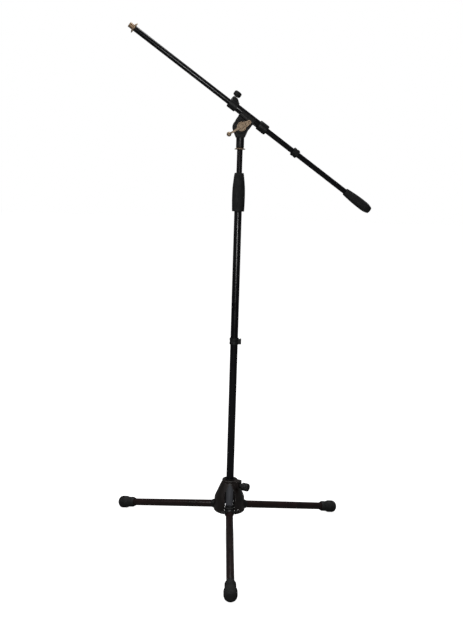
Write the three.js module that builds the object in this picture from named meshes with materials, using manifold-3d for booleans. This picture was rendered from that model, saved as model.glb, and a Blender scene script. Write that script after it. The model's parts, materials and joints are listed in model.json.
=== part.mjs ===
// A boom microphone stand: folding tripod base, telescopic pole and a counterweighted boom on a swivel head.
// Millimetres, +Z up. The origin is on the floor, in the middle of the footprint.
import * as THREE from "three";
import { mergeVertices } from "three/addons/utils/BufferGeometryUtils.js";
import Module from "manifold-3d";

// ---------------------------------------------------------------- driving dimensions
const GAP = 0.3; // clearance between pieces that touch

// tripod base
const TRIPOD_TURN = 1.5; // degrees that the first leg is turned from straight ahead
const LEG_COUNT = 3;
const LEG_PIVOT_RADIUS = 32;
const LEG_PIVOT_Z = 81;
const FOOT_RADIUS = 349; // pole axis to the middle of a foot
const FOOT_BULB_R = 16.5;
const LEG_TUBE_R = 9.6;
const LEG_TUBE_WALL = 1.2;
const KNUCKLE_R = 12;
const HEEL = 12;
const PIN_R = 3;
const HUB_BOTTOM_Z = 72.5;
const HUB_TOP_Z = 156.5;
const HUB_R = 42;
const COLLAR_R = 21;
const LOCK_SCREW_Z = 143;
const LOCK_AZIMUTH = 60; // degrees from the first leg
const BOSS_END_R = 31;

// pole
const LOWER_TUBE_R = 10;
const LOWER_TUBE_WALL = 1.5;
const LOWER_TUBE_TOP_Z = 935;
const UPPER_TUBE_R = 7.45;
const UPPER_TUBE_WALL = 1.2;
const UPPER_TUBE_BOTTOM_Z = 238;
const UPPER_TUBE_TOP_Z = 1043.5;
const STUD_TOP_Z = 1062;
const STUD_R = 4.75;
const STOP_PLATE_R = 25;
const STOP_PLATE_THICKNESS = 3;
const GRIP_BOTTOM_Z = 880.5;
const GRIP_LENGTH = 101.5;
const CLUTCH_SHOULDER_Z = 950; // the grip necks in above this
const CLUTCH_NECK_Z = 968;
const COLLET_TOP_Z = 960;
const POLE_CLIP_Z = 533.5;
const POLE_CLIP_LENGTH = 17;

// swivel head and boom
const PIVOT_Z = 1102;
const HEAD_TURN = 11.5; // degrees that the boom's plane is turned about the pole
const BOOM_RISE = 34.5; // degrees that the boom climbs towards its tip
const CHEEK_R = 20.2;
const HEAD_HALF_THICKNESS = 10.5;
const TONGUE_HALF_THICKNESS = 4.6;
const WEB_HALF_WIDTH = 21.6;
const FRICTION_WASHER = 1;
const BOLT_R = 4;
const BOOM_OFFSET = 34.7; // pivot to boom axis
const SLEEVE_R = 10;
const SLEEVE_WALL = 1.25;
const SLEEVE_FRONT_X = -46;
const SLEEVE_REAR_X = 58;
const BOOM_R = 7.25;
const BOOM_WALL = 1.2;
const BOOM_TIP_X = -366;
const BOOM_TAIL_X = 348;
const THREAD_END_X = -383;
const THREAD_R = 7.2;
const BOOM_KNOB_X = -57;
const BOOM_KNOB_TOP = 36.2; // above the boom's axis
const BOOM_CLIP_X = 158.5;
const BOOM_CLIP_LENGTH = 16;
const WEIGHT_START_X = 334;
const WEIGHT_END_X = 420;
const LOCK_RING_R = 14.5;
const LEVER_HUB_R = 12.6;
const LEVER_RISE = 32; // degrees that the lever's far lug stands above its ball
const LEVER_BALL_REACH = 40;
const LEVER_LUG_REACH = 22;

// facets round a full turn
const FINE = 28;
const ROUND = 20;
const SMALL = 12;

const FINISHES = {
  black_paint: { color: 0x0b0b0f, roughness: 0.22, metalness: 0.1 },
  leg_paint: { color: 0x1c1413, roughness: 0.35, metalness: 0.1 },
  cast_hub: { color: 0x2c2521, roughness: 0.45, metalness: 0.3 },
  cast_black: { color: 0x101011, roughness: 0.4, metalness: 0.2 },
  black_plastic: { color: 0x0e1110, roughness: 0.5, metalness: 0 },
  black_rubber: { color: 0x16191a, roughness: 0.85, metalness: 0 },
  nickel: { color: 0xb09a80, roughness: 0.3, metalness: 0.9 },
  steel: { color: 0x9a9a9a, roughness: 0.35, metalness: 0.9 },
  nylon: { color: 0xd8d4c8, roughness: 0.6, metalness: 0 },
  brass: { color: 0xb08d4a, roughness: 0.35, metalness: 0.9 },
  fibre: { color: 0x6a3a26, roughness: 0.8, metalness: 0 },
};

// ---------------------------------------------------------------- solid tools
const wasm = await Module();
wasm.setup();

function toSolid(geometry) {
  const bare = geometry.clone();
  bare.deleteAttribute("normal");
  bare.deleteAttribute("uv");
  const merged = mergeVertices(bare, 1e-4);
  const corners = merged.index.array;
  const kept = [];
  for (let i = 0; i < corners.length; i += 3) {
    const [a, b, c] = corners.slice(i, i + 3);
    if (a !== b && b !== c && a !== c) kept.push(a, b, c);
  }
  return new wasm.Manifold(
    new wasm.Mesh({
      numProp: 3,
      vertProperties: merged.attributes.position.array,
      triVerts: new Uint32Array(kept),
    }),
  );
}

function toGeometry(solid) {
  const { vertProperties, triVerts } = solid.getMesh();
  const geometry = new THREE.BufferGeometry();
  geometry.setAttribute("position", new THREE.BufferAttribute(vertProperties, 3));
  geometry.setIndex(new THREE.BufferAttribute(triVerts, 1));
  return geometry;
}

function join(...geometries) {
  return toGeometry(geometries.map(toSolid).reduce((all, next) => all.add(next)));
}

function cut(geometry, ...tools) {
  return toGeometry(tools.map(toSolid).reduce((left, tool) => left.subtract(tool), toSolid(geometry)));
}

function common(geometry, other) {
  return toGeometry(toSolid(geometry).intersect(toSolid(other)));
}

// ---------------------------------------------------------------- basic shapes
// A closed outline of [radius, z] points, turned about Z.
function turned(outline, facets = ROUND) {
  const doubleArea = outline.reduce((sum, [r, z], i) => {
    const [nextR, nextZ] = outline[(i + 1) % outline.length];
    return sum + r * nextZ - nextR * z;
  }, 0);
  const ordered = doubleArea > 0 ? outline : [...outline].reverse();
  const points = [...ordered, ordered[0]].map(([r, z]) => new THREE.Vector2(r, z));
  return toGeometry(toSolid(new THREE.LatheGeometry(points, facets).rotateX(Math.PI / 2)));
}

function rod(radius, z0, z1, facets = ROUND) {
  return turned([[0, z0], [radius, z0], [radius, z1], [0, z1]], facets);
}

function pipe(outer, inner, z0, z1, facets = ROUND) {
  return turned([[inner, z0], [outer, z0], [outer, z1], [inner, z1]], facets);
}

function block([x0, x1], [y0, y1], [z0, z1]) {
  return new THREE.BoxGeometry(x1 - x0, y1 - y0, z1 - z0).translate(
    (x0 + x1) / 2,
    (y0 + y1) / 2,
    (z0 + z1) / 2,
  );
}

// A flat outline drawn in X and Z, with its thickness along Y.
function plateXZ(shape, y0, y1, curveSegments = 6) {
  return new THREE.ExtrudeGeometry(shape, { depth: y1 - y0, bevelEnabled: false, curveSegments })
    .rotateX(Math.PI / 2)
    .translate(0, y1, 0);
}

// A flat outline drawn in Y and Z, with its thickness along X.
function plateYZ(shape, x0, x1, curveSegments = 6) {
  return new THREE.ExtrudeGeometry(shape, { depth: x1 - x0, bevelEnabled: false, curveSegments })
    .rotateX(Math.PI / 2)
    .rotateZ(Math.PI / 2)
    .translate(x0, 0, 0);
}

// A flat outline drawn in X and Y, with its thickness along Z.
function plateXY(shape, z0, z1, curveSegments = 6) {
  return new THREE.ExtrudeGeometry(shape, { depth: z1 - z0, bevelEnabled: false, curveSegments }).translate(0, 0, z0);
}

function outline(points) {
  return new THREE.Shape(points.map(([u, v]) => new THREE.Vector2(u, v)));
}

// Turns a shape built round Z so that its axis lies along X or Y.
const alongX = (geometry) => geometry.rotateY(Math.PI / 2);
const alongY = (geometry) => geometry.rotateX(-Math.PI / 2);

// ---------------------------------------------------------------- scene graph
const radians = THREE.MathUtils.degToRad;
const stand = new THREE.Group();

function group(parent, place = [0, 0, 0]) {
  const made = new THREE.Group();
  made.position.set(...place);
  parent.add(made);
  return made;
}

function piece(parent, name, geometry, finish) {
  const material = new THREE.MeshStandardMaterial({ ...FINISHES[finish], flatShading: true });
  const mesh = new THREE.Mesh(geometry, material);
  mesh.name = name;
  parent.add(mesh);
}

// ---------------------------------------------------------------- tripod base
function hubGeometry() {
  const boreR = 12.4;
  const shell = turned(
    [
      [HUB_R, HUB_BOTTOM_Z],
      [HUB_R, HUB_BOTTOM_Z + 4.5],
      [40.6, HUB_BOTTOM_Z + 6],
      [39.6, 108],
      [COLLAR_R + 0.8, 148],
      [COLLAR_R, 149],
      [COLLAR_R, HUB_TOP_Z - 1],
      [COLLAR_R - 1, HUB_TOP_Z],
      [boreR, HUB_TOP_Z],
      [boreR, 140],
      [20, 138],
      [35.5, 106],
      [36.5, HUB_BOTTOM_Z],
    ],
    FINE,
  );
  const bossShape = new THREE.Shape()
    .moveTo(10, HUB_TOP_Z - 1)
    .lineTo(9, HUB_TOP_Z - 0.2)
    .lineTo(-9, HUB_TOP_Z - 0.2)
    .lineTo(-10, HUB_TOP_Z - 1)
    .lineTo(-10, LOCK_SCREW_Z)
    .absarc(0, LOCK_SCREW_Z, 10, Math.PI, 2 * Math.PI, false);
  const boss = plateYZ(bossShape, boreR + 0.6, BOSS_END_R);
  const screwHole = alongX(rod(PIN_R + GAP, boreR - 2, BOSS_END_R + 1, SMALL)).translate(0, 0, LOCK_SCREW_Z);
  const parts = [shell, boss.rotateZ(radians(LOCK_AZIMUTH))];
  const openings = [screwHole.rotateZ(radians(LOCK_AZIMUTH))];
  const slot = outline([
    [-2, 148],
    [-14, 126],
    [-14, HUB_BOTTOM_Z - 5],
    [14, HUB_BOTTOM_Z - 5],
    [14, 126],
    [2, 148],
  ]);
  for (let leg = 0; leg < LEG_COUNT; leg++) {
    const azimuth = (leg * 2 * Math.PI) / LEG_COUNT;
    for (const side of [-1, 1]) {
      const reach = [side * 13.8, side * 17.6].sort((a, b) => a - b);
      parts.push(block([24, 35.4], reach, [HUB_BOTTOM_Z, 92]).rotateZ(azimuth));
    }
    openings.push(plateYZ(slot, 6, 50).rotateZ(azimuth));
    openings.push(
      alongY(rod(PIN_R + GAP, -18.5, 30, SMALL)).translate(LEG_PIVOT_RADIUS, 0, LEG_PIVOT_Z).rotateZ(azimuth),
    );
  }
  return cut(join(...parts), ...openings);
}

function knuckleGeometry() {
  const side = new THREE.Shape()
    .moveTo(-HEEL, -HEEL + 1)
    .lineTo(-HEEL + 1, -HEEL)
    .lineTo(9, -HEEL)
    .lineTo(9, HEEL)
    .lineTo(0, HEEL)
    .absarc(0, 0, HEEL, Math.PI / 2, Math.PI, false);
  const heel = common(plateXZ(side, -KNUCKLE_R, KNUCKLE_R, 5), alongX(rod(15, -HEEL - 2, 12)));
  const barrel = alongX(
    turned([[0, 2], [KNUCKLE_R, 2], [KNUCKLE_R, 16], [10.8, 20], [10.3, 21], [0, 21]]),
  );
  const socket = alongX(rod(LEG_TUBE_R + GAP, 9, 30));
  const pinHole = alongY(rod(PIN_R + GAP, -20, 20, SMALL));
  return cut(join(heel, barrel), socket, pinHole);
}

function footGeometry(legLength, slope) {
  const boot = alongX(
    turned([
      [0, 17],
      [6, 16.6],
      [11.5, 14.6],
      [15.2, 10.5],
      [FOOT_BULB_R, 6],
      [FOOT_BULB_R, -8],
      [15.4, -12],
      [14, -14],
      [13.8, -32],
      [11, -38],
      [LEG_TUBE_R + GAP, -38],
      [LEG_TUBE_R + GAP, 2],
      [0, 2],
    ]),
  );
  const floor = block([-60, 60], [-30, 30], [-60, -FOOT_BULB_R]).rotateY(-slope);
  return cut(boot, floor).translate(legLength, 0, 0);
}

function addTripod() {
  const tripod = group(stand);
  tripod.rotation.z = radians(TRIPOD_TURN - 90);
  piece(tripod, "base_hub", hubGeometry(), "cast_hub");
  const bush = turned([
    [10.3, 147],
    [12.1, 147],
    [12.1, HUB_TOP_Z + GAP],
    [14, HUB_TOP_Z + GAP],
    [13.6, HUB_TOP_Z + 1.6],
    [10.3, HUB_TOP_Z + 1.6],
  ]);
  piece(tripod, "mast_bushing", bush, "black_plastic");

  const lock = group(tripod, [0, 0, LOCK_SCREW_Z]);
  lock.rotation.z = radians(LOCK_AZIMUTH);
  piece(lock, "base_clamp_pad", alongX(rod(PIN_R, LOWER_TUBE_R + GAP, 13.4, SMALL)), "brass");
  piece(lock, "base_lock_screw", alongX(rod(PIN_R, 13.7, 51, SMALL)), "steel");
  const knob = turned(
    [
      [PIN_R + GAP, BOSS_END_R + 1],
      [6.4, BOSS_END_R + 1],
      [6.4, 38],
      [9, 38],
      [10.5, 39.5],
      [10.5, 55],
      [9.4, 57],
      [7.5, 57.8],
      [0, 58],
      [0, 51.4],
      [PIN_R + GAP, 51.4],
    ],
    20,
  );
  piece(lock, "base_lock_knob", alongX(knob), "black_plastic");

  const legDrop = LEG_PIVOT_Z - FOOT_BULB_R;
  const legRun = FOOT_RADIUS - LEG_PIVOT_RADIUS;
  const legLength = Math.hypot(legRun, legDrop);
  const slope = Math.atan2(legDrop, legRun);
  for (let leg = 0; leg < LEG_COUNT; leg++) {
    const arm = group(tripod);
    arm.rotation.z = (leg * 2 * Math.PI) / LEG_COUNT;
    const pivot = group(arm, [LEG_PIVOT_RADIUS, 0, LEG_PIVOT_Z]);
    pivot.rotation.y = slope;
    const number = leg + 1;
    piece(pivot, `leg_${number}_pin`, alongY(rod(PIN_R, -17.6, 17.6, SMALL)), "steel");
    piece(pivot, `leg_${number}_knuckle`, knuckleGeometry(), "cast_black");
    const tube = alongX(pipe(LEG_TUBE_R, LEG_TUBE_R - LEG_TUBE_WALL, 9.4, legLength + 1.4));
    piece(pivot, `leg_${number}_tube`, tube, "leg_paint");
    piece(pivot, `leg_${number}_foot`, footGeometry(legLength, slope), "black_rubber");
  }
}

// ---------------------------------------------------------------- pole
// A ring round a tube with an open hook beside it for a cable, which lies along Z.
function cableClip(boreR, ringR, hookR, length) {
  const half = length / 2;
  const ring = turned([
    [boreR, -half],
    [ringR - 0.8, -half],
    [ringR, -half + 0.8],
    [ringR, -2.5],
    [ringR - 0.8, -1.8],
    [ringR - 0.8, 1.8],
    [ringR, 2.5],
    [ringR, half - 0.8],
    [ringR - 0.8, half],
    [boreR, half],
  ]);
  const wall = 1.6;
  const hook = outline([
    [ringR - 3, -6.5],
    [hookR - 1.2, -6.5],
    [hookR, -5],
    [hookR, 6],
    [hookR - wall - 0.3, 6],
    [hookR - wall, -4.9],
    [ringR - 3, -4.9],
  ]);
  const finger = plateXY(hook, -half + 1, half - 1);
  const bore = rod(boreR, -length, length);
  return cut(join(ring, finger), bore);
}

function gripProfile(share) {
  // A slow swell over the lower two thirds and a rounded shoulder to the top.
  const swell = 16.2 + 0.9 * Math.sin(Math.PI * Math.min(share / 0.75, 1));
  const shoulder = share < 0.5 ? 0 : 4.2 * ((share - 0.5) / 0.5) ** 2.2;
  return swell - shoulder;
}

function addPole() {
  const plateTop = LEG_PIVOT_Z - HEEL - GAP;
  const tubeInner = LOWER_TUBE_R - LOWER_TUBE_WALL;
  piece(
    stand,
    "lower_tube",
    pipe(LOWER_TUBE_R, tubeInner, plateTop + GAP, LOWER_TUBE_TOP_Z),
    "black_paint",
  );
  const plug = turned([
    [2.8, plateTop + GAP],
    [tubeInner - GAP, plateTop + GAP],
    [tubeInner - GAP, plateTop + 15],
    [0, plateTop + 15],
    [0, plateTop + 12],
    [2.8, plateTop + 12],
  ]);
  piece(stand, "mast_end_plug", plug, "steel");
  const plateBottom = plateTop - STOP_PLATE_THICKNESS;
  const plate = turned([
    [3, plateBottom],
    [STOP_PLATE_R - 1, plateBottom],
    [STOP_PLATE_R, plateBottom + 1],
    [STOP_PLATE_R, plateTop],
    [3, plateTop],
  ]);
  piece(stand, "leg_stop_plate", plate, "steel");
  const screwHead = turned(
    [
      [0, plateBottom - 2.1],
      [2, plateBottom - 2.1],
      [2, plateBottom - 3.6],
      [4.4, plateBottom - 3.6],
      [5, plateBottom - 3],
      [5, plateBottom - GAP],
      [2.5, plateBottom - GAP],
      [2.5, plateTop + 11],
      [0, plateTop + 11],
    ],
    SMALL,
  );
  piece(stand, "stop_plate_screw", screwHead, "steel");

  const clip = cableClip(LOWER_TUBE_R + GAP, 12.3, 18.9, POLE_CLIP_LENGTH).translate(0, 0, POLE_CLIP_Z);
  piece(stand, "pole_cable_clip", clip, "black_plastic");

  const gripTop = GRIP_BOTTOM_Z + GRIP_LENGTH;
  const clutchBody = turned([
    [LOWER_TUBE_R + GAP, GRIP_BOTTOM_Z + 3],
    [12.6, GRIP_BOTTOM_Z + 3],
    [12.6, CLUTCH_SHOULDER_Z + 2.5],
    [10.9, CLUTCH_SHOULDER_Z + 2.5],
    [8.9, CLUTCH_SHOULDER_Z - 6],
    [8.1, CLUTCH_SHOULDER_Z - 6],
    [8.1, LOWER_TUBE_TOP_Z + GAP],
    [LOWER_TUBE_R + GAP, LOWER_TUBE_TOP_Z + GAP],
  ]);
  piece(stand, "clutch_body", clutchBody, "black_plastic");
  const collet = turned([
    [UPPER_TUBE_R + 0.2, CLUTCH_SHOULDER_Z - 4],
    [8.9, CLUTCH_SHOULDER_Z - 4],
    [10.2, CLUTCH_SHOULDER_Z + 1.5],
    [10.2, COLLET_TOP_Z],
    [UPPER_TUBE_R + 0.2, COLLET_TOP_Z],
  ]);
  const split = block([0, 20], [-1, 1], [COLLET_TOP_Z - 20, COLLET_TOP_Z + 10]);
  piece(stand, "clutch_collet", cut(collet, split), "nylon");
  const core = turned([
    [12.9, GRIP_BOTTOM_Z + 3],
    [14, GRIP_BOTTOM_Z + 3],
    [14, CLUTCH_SHOULDER_Z],
    [12.4, CLUTCH_NECK_Z],
    [10.6, gripTop - 1],
    [8.1, gripTop - 1],
    [8.1, COLLET_TOP_Z + 0.5],
    [10.5, COLLET_TOP_Z + 0.5],
    [10.5, CLUTCH_SHOULDER_Z + 5.5],
    [12.9, CLUTCH_SHOULDER_Z + 3.5],
  ]);
  piece(stand, "clutch_grip_core", core, "black_plastic");
  const skinSteps = 9;
  const skin = [];
  for (let i = 0; i <= skinSteps; i++) {
    const share = i / skinSteps;
    skin.push([gripProfile(share), GRIP_BOTTOM_Z + share * GRIP_LENGTH]);
  }
  const rubber = turned([
    ...skin,
    [10.9, gripTop],
    [10.9, gripTop - 1],
    [12.7, CLUTCH_NECK_Z],
    [14.3, CLUTCH_SHOULDER_Z],
    [14.3, GRIP_BOTTOM_Z],
  ]);
  piece(stand, "clutch_grip_rubber", rubber, "black_rubber");

  const upperInner = UPPER_TUBE_R - UPPER_TUBE_WALL;
  piece(
    stand,
    "upper_tube",
    pipe(UPPER_TUBE_R, upperInner, UPPER_TUBE_BOTTOM_Z, UPPER_TUBE_TOP_Z),
    "black_paint",
  );
  const guide = turned([
    [0, UPPER_TUBE_BOTTOM_Z - 6],
    [tubeInner - GAP, UPPER_TUBE_BOTTOM_Z - 6],
    [tubeInner - GAP, UPPER_TUBE_BOTTOM_Z - GAP],
    [upperInner - GAP, UPPER_TUBE_BOTTOM_Z - GAP],
    [upperInner - GAP, UPPER_TUBE_BOTTOM_Z + 18],
    [0, UPPER_TUBE_BOTTOM_Z + 18],
  ]);
  piece(stand, "upper_tube_guide", guide, "nylon");
}

// ---------------------------------------------------------------- swivel head
function dishedRing(boreR) {
  // Face at z = 0, rim swept back below it.
  return turned(
    [
      [boreR, 0],
      [9, 0],
      [LOCK_RING_R - 0.6, -1.8],
      [LOCK_RING_R, -1.1],
      [LOCK_RING_R - 0.4, -0.2],
      [9.5, 2.4],
      [boreR, 2.6],
    ],
    FINE,
  );
}

function forkGeometry() {
  const neckR = 10.5;
  const neckBottom = UPPER_TUBE_TOP_Z + 4.7 - PIVOT_Z;
  const neckTop = -27.3;
  const tangent = radians(-25);
  const neck = turned([
    [0, neckBottom],
    [neckR - 1, neckBottom],
    [neckR, neckBottom + 1.5],
    [neckR, neckTop + 2],
    [0, neckTop + 2],
  ]);
  const cheeks = new THREE.Shape()
    .moveTo(-neckR, neckTop)
    .lineTo(neckR, neckTop)
    .absarc(0, 0, CHEEK_R, tangent, Math.PI - tangent, false);
  const blade = plateXZ(cheeks, -HEAD_HALF_THICKNESS, HEAD_HALF_THICKNESS, 10);
  const slotHalf = TONGUE_HALF_THICKNESS + FRICTION_WASHER + 2 * GAP;
  const slot = block([-40, 40], [-slotHalf, slotHalf], [-WEB_HALF_WIDTH - 2, 40]);
  const boltHole = alongY(rod(BOLT_R + GAP, -20, 20, SMALL));
  const hexPocket = alongY(rod(7.8, 7.6, 20, 6));
  const studHole = rod(STUD_R + GAP, neckBottom - 1, STUD_TOP_Z + 1 - PIVOT_Z);
  return cut(join(neck, blade), slot, boltHole, hexPocket, studHole);
}

function leverGeometry() {
  const front = -18.4;
  const back = -12.2;
  const hub = alongY(
    turned([
      [0, back],
      [LEVER_HUB_R - 1, back],
      [LEVER_HUB_R, back - 1],
      [LEVER_HUB_R, front + 0.8],
      [LEVER_HUB_R - 0.8, front],
      [0, front],
    ]),
  );
  const hollowRing = alongY(pipe(10.4, 5, front - 1, front + 1.6));
  const hollows = [-1, 1].map((side) => {
    const reach = [side * 2.6, side * 12].sort((low, high) => low - high);
    return common(hollowRing, block([-12, 12], [front - 2, front + 3], reach));
  });
  const arm = plateXZ(
    outline([[-8, -3.3], [-8, 3.3], [-LEVER_BALL_REACH, 2], [-LEVER_BALL_REACH, -2]]),
    front - 1.4,
    front + 3.2,
  );
  const lug = plateXZ(
    outline([[6, -9.5], [LEVER_LUG_REACH, -5.4], [LEVER_LUG_REACH, 5.4], [6, 9.5]]),
    front + 0.8,
    front + 4.8,
  );
  const boss = alongY(rod(6, front - 0.4, front + 5, SMALL)).translate(LEVER_LUG_REACH, 0, 0);
  const dimple = alongY(rod(2.6, front - 2, front + 1.2, SMALL)).translate(LEVER_LUG_REACH, 0, 0);
  const ball = new THREE.SphereGeometry(6.3, SMALL, 10).translate(-LEVER_BALL_REACH, front - 0.7, 0);
  const bore = alongY(rod(BOLT_R + GAP, front + 1.6, back + 1, SMALL));
  return cut(join(hub, arm, lug, boss, ball), bore, dimple, ...hollows);
}

function addHead(head) {
  const stud = turned([
    [0, -24],
    [UPPER_TUBE_R - UPPER_TUBE_WALL - GAP, -24],
    [UPPER_TUBE_R - UPPER_TUBE_WALL - GAP, GAP],
    [7.3, GAP],
    [7.3, 1.3],
    [STUD_R, 1.3],
    [STUD_R, STUD_TOP_Z - UPPER_TUBE_TOP_Z],
    [0, STUD_TOP_Z - UPPER_TUBE_TOP_Z],
  ]);
  piece(stand, "upper_tube_stud", stud.translate(0, 0, UPPER_TUBE_TOP_Z), "nickel");
  const ring = dishedRing(STUD_R + GAP).translate(0, 0, UPPER_TUBE_TOP_Z + 1.8);
  piece(stand, "head_lock_ring", ring, "nickel");

  piece(head, "swivel_fork", forkGeometry(), "cast_black");
  for (const [name, y] of [
    ["friction_washer_front", -TONGUE_HALF_THICKNESS - GAP - FRICTION_WASHER],
    ["friction_washer_rear", TONGUE_HALF_THICKNESS + GAP],
  ]) {
    piece(head, name, alongY(pipe(17, BOLT_R + GAP, y, y + FRICTION_WASHER)), "fibre");
  }
  const bolt = join(alongY(rod(BOLT_R, -16.4, 9, SMALL)), alongY(rod(7.2, 7.9, 13.4, 6)));
  piece(head, "tilt_bolt", bolt, "steel");
  piece(head, "lever_washer", alongY(pipe(9, BOLT_R + GAP, -11.9, -10.8)), "steel");
  const lever = leverGeometry().rotateY(radians(-LEVER_RISE));
  piece(head, "tilt_lever", lever, "nickel");
}

// ---------------------------------------------------------------- boom
function cradleGeometry() {
  const discR = CHEEK_R - 0.2;
  const tongueShape = new THREE.Shape()
    .moveTo(discR, 0)
    .lineTo(WEB_HALF_WIDTH, 9)
    .lineTo(WEB_HALF_WIDTH, BOOM_OFFSET)
    .lineTo(-WEB_HALF_WIDTH, BOOM_OFFSET)
    .lineTo(-WEB_HALF_WIDTH, 9)
    .lineTo(-discR, 0)
    .absarc(0, 0, discR, Math.PI, 2 * Math.PI, false);
  const tongue = plateXZ(tongueShape, -TONGUE_HALF_THICKNESS, TONGUE_HALF_THICKNESS, 8);
  const saddleShape = outline([
    [-10.5, CHEEK_R + 1],
    [10.5, CHEEK_R + 1],
    [12.4, 27],
    [12.4, 37],
    [-12.4, 37],
    [-12.4, 27],
  ]);
  const saddle = plateYZ(saddleShape, -WEB_HALF_WIDTH, WEB_HALF_WIDTH);
  const sleeveBed = alongX(rod(SLEEVE_R + GAP, -30, 30)).translate(0, 0, BOOM_OFFSET);
  const openTop = block([-30, 30], [-SLEEVE_R - GAP, SLEEVE_R + GAP], [BOOM_OFFSET, 60]);
  const boltHole = alongY(rod(BOLT_R + GAP, -20, 20, SMALL));
  return cut(join(tongue, saddle), sleeveBed, openTop, boltHole);
}

// A cap over an end of the sleeve: x0 is its open end, x1 the end that the boom tube leaves by.
function collarOutline(x0, x1, sleeveEnd, outerR) {
  const way = Math.sign(x1 - x0);
  const seat = sleeveEnd + way * GAP;
  const boreR = BOOM_R + 0.6;
  return [
    [SLEEVE_R + GAP, x0],
    [outerR - 0.8, x0],
    [outerR, x0 + way * 0.8],
    [outerR, x1 - way * 1.6],
    [outerR - 1.6, x1],
    [boreR, x1],
    [boreR, seat],
    [SLEEVE_R + GAP, seat],
  ];
}

function frontCollarGeometry() {
  const cap = alongX(turned(collarOutline(-38.5, -63, SLEEVE_FRONT_X, 13.3)));
  const bossSide = outline([[-63, 5], [-63, 17.5], [-61, 19.5], [-50, 19.5], [-41, 12.5], [-41, 5]]);
  const boss = common(
    plateXZ(bossSide, -7, 7),
    plateYZ(outline([[-7, 5], [7, 5], [7, 16], [5.4, 19.5], [-5.4, 19.5], [-7, 16]]), -70, -30),
  );
  const rodWay = alongX(rod(BOOM_R + 0.6, -70, SLEEVE_FRONT_X));
  const sleeveWay = alongX(rod(SLEEVE_R + GAP, SLEEVE_FRONT_X - GAP, -30));
  const screwWay = rod(PIN_R + GAP, 0, 40, SMALL).translate(BOOM_KNOB_X, 0, 0);
  return cut(join(cap, boss), rodWay, sleeveWay, screwWay);
}

function addBoomHead(boom) {
  piece(boom, "boom_cradle", cradleGeometry(), "cast_black");
  const axis = group(boom, [0, 0, BOOM_OFFSET]);
  const sleeveInner = SLEEVE_R - SLEEVE_WALL;
  const sleeve = alongX(pipe(SLEEVE_R, sleeveInner, SLEEVE_FRONT_X, SLEEVE_REAR_X));
  piece(axis, "boom_sleeve", sleeve, "black_paint");
  piece(axis, "front_collar", frontCollarGeometry(), "black_plastic");
  const rearCollar = alongX(turned(collarOutline(35, 62, SLEEVE_REAR_X, 13.4)));
  piece(axis, "rear_collar", rearCollar, "black_plastic");
  const bushLength = 20;
  for (const [name, x] of [
    ["boom_bush_front", SLEEVE_FRONT_X + 1],
    ["boom_bush_rear", SLEEVE_REAR_X - 1 - bushLength],
  ]) {
    piece(axis, name, alongX(pipe(sleeveInner - 0.25, BOOM_R + 0.2, x, x + bushLength)), "nylon");
  }

  const lock = group(axis, [BOOM_KNOB_X, 0, 0]);
  piece(lock, "boom_clamp_pad", rod(PIN_R, BOOM_R + GAP, 10.4, SMALL), "brass");
  piece(lock, "boom_lock_screw", rod(PIN_R, 10.7, BOOM_KNOB_TOP - 4, SMALL), "steel");
  const knobBottom = 22.6;
  const knob = turned([
    [PIN_R + GAP, knobBottom],
    [7.5, knobBottom],
    [10.5, knobBottom + 2.4],
    [10.5, BOOM_KNOB_TOP - 3],
    [8.6, BOOM_KNOB_TOP - 0.6],
    [0, BOOM_KNOB_TOP],
    [0, BOOM_KNOB_TOP - 3.6],
    [PIN_R + GAP, BOOM_KNOB_TOP - 3.6],
  ]);
  piece(lock, "boom_lock_knob", knob, "black_plastic");
  return axis;
}

function weightGripProfile(x) {
  // Swells from the tube to a fat end with a rounded nose.
  const noseStart = 396;
  const swell = 10.2 + 3.2 * Math.sin((Math.PI / 2) * Math.min((x - WEIGHT_START_X) / 52, 1));
  const nose = x < noseStart ? 0 : 4.4 * ((x - noseStart) / (WEIGHT_END_X - noseStart)) ** 2.4;
  return swell - nose;
}

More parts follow.
